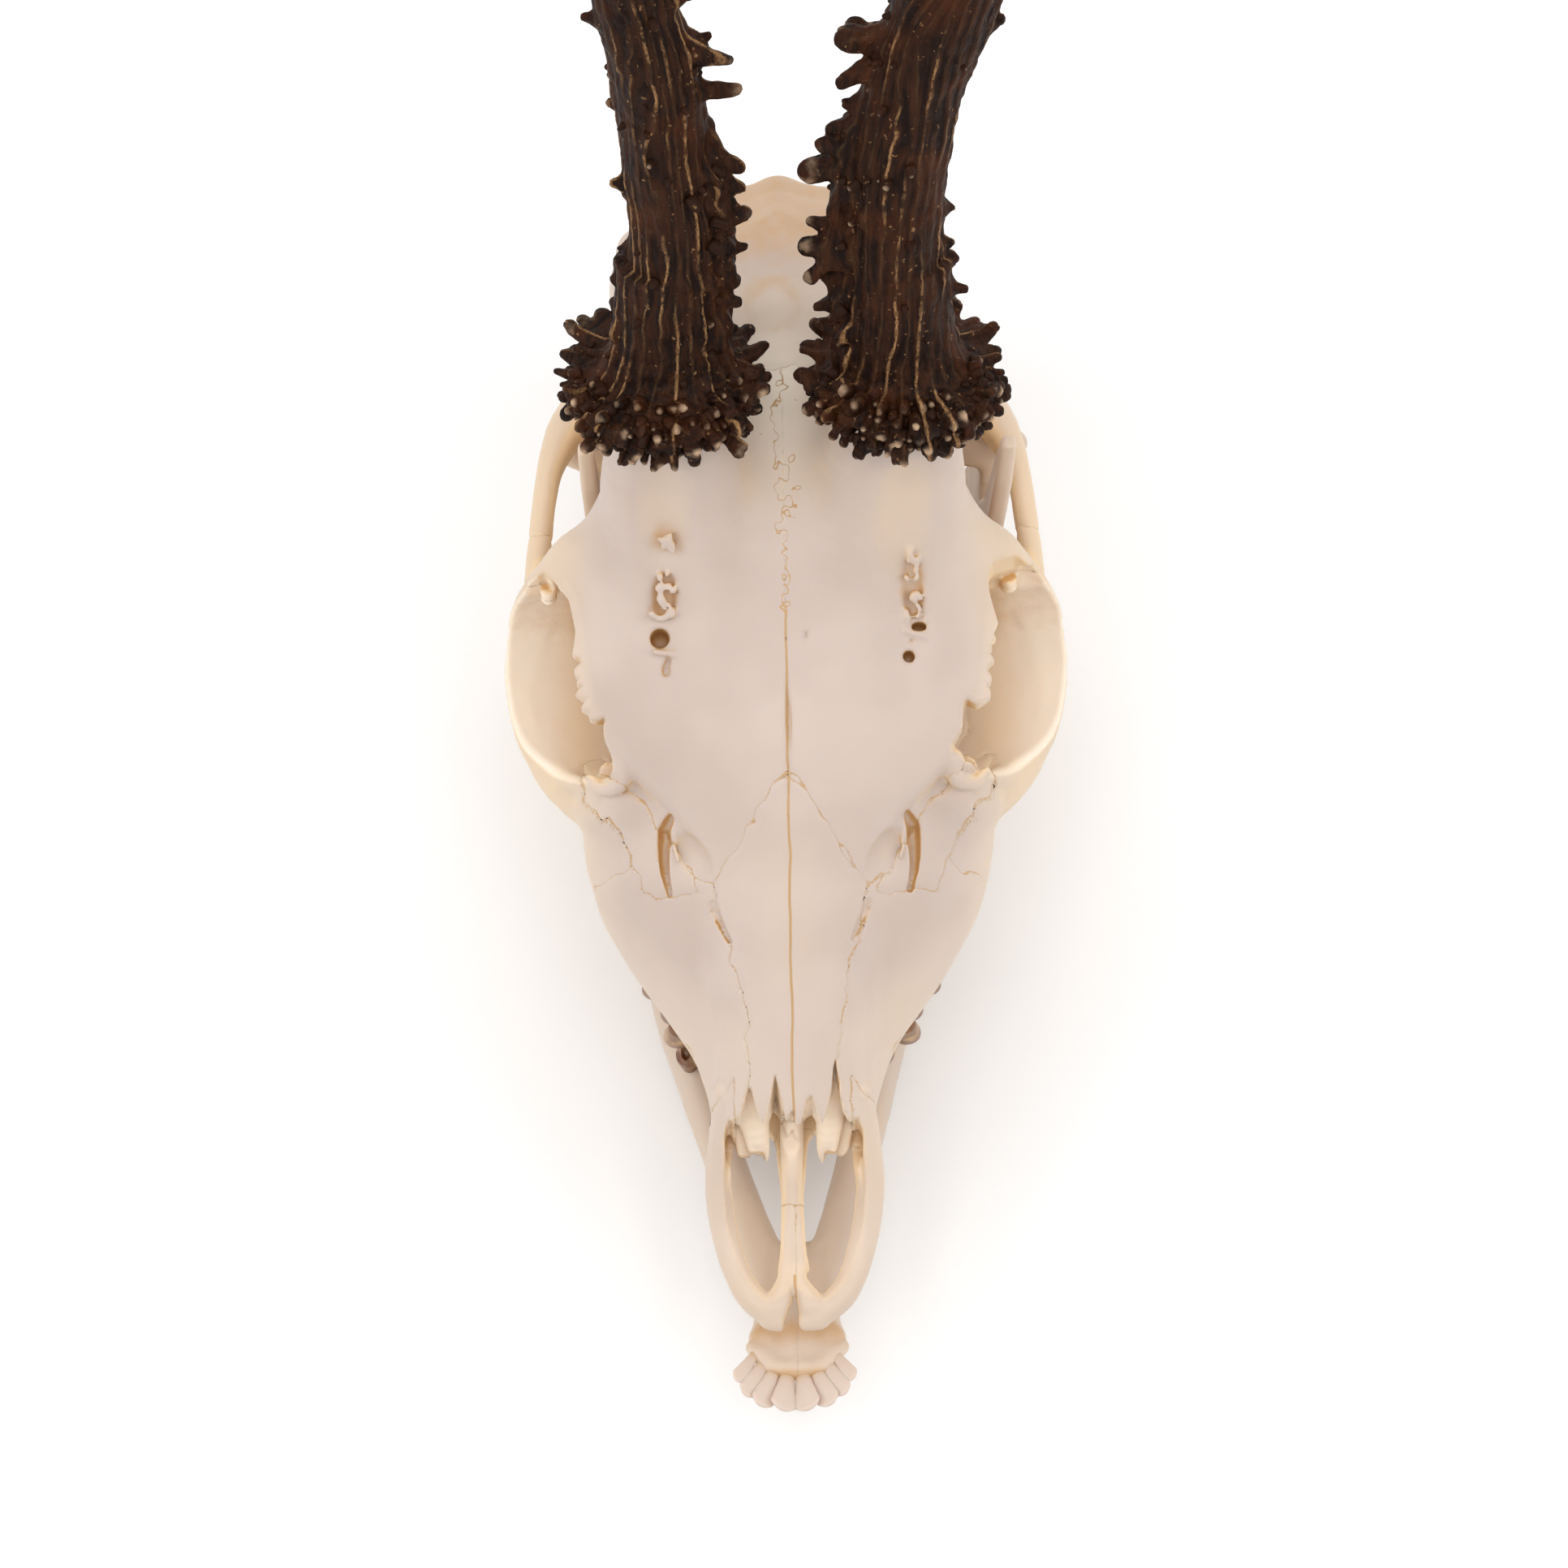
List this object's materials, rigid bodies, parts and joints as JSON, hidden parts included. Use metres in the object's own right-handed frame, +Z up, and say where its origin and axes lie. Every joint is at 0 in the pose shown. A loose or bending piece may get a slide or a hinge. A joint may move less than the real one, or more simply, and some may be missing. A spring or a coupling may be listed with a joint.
{
  "type": "roe deer skull",
  "caption": "Dry roe buck skull with lower jaw, teeth and dark pearled antlers, lying on its jaw as a still life-size display model.",
  "frame": {"origin": "middle of the skull's bounding box on the floor that the lower jaw rests on", "axes": "+Z up, muzzle towards -Y, the skull's left-hand side of the picture towards -X; the skull leans 5.2 degrees nose down as it rests"},
  "size_m": [0.0968, 0.2452, 0.3073],
  "materials": {
    "bone": "dry bleached bone, satin",
    "antler": "dark brown antler bark with grooves and pearls"
  },
  "bodies": {
    "root": {"braincase": "bone", "frontal_left": "bone", "frontal_right": "bone", "nasal_left": "bone", "nasal_right": "bone", "lacrimal_left": "bone", "lacrimal_right": "bone", "zygomatic_left": "bone", "zygomatic_right": "bone", "maxilla_left": "bone", "maxilla_right": "bone", "premaxilla_left": "bone", "premaxilla_right": "bone", "vomer": "bone", "mandible_left": "bone", "mandible_right": "bone", "antler_left_beam": "antler", "antler_left_front_tine": "antler", "antler_left_rear_tine": "antler", "antler_left_top_tine": "antler", "antler_left_upper_beam": "antler", "antler_right_beam": "antler", "antler_right_front_tine": "antler", "antler_right_rear_tine": "antler", "antler_right_top_tine": "antler", "antler_right_upper_beam": "antler"}
  },
  "joints": []
}
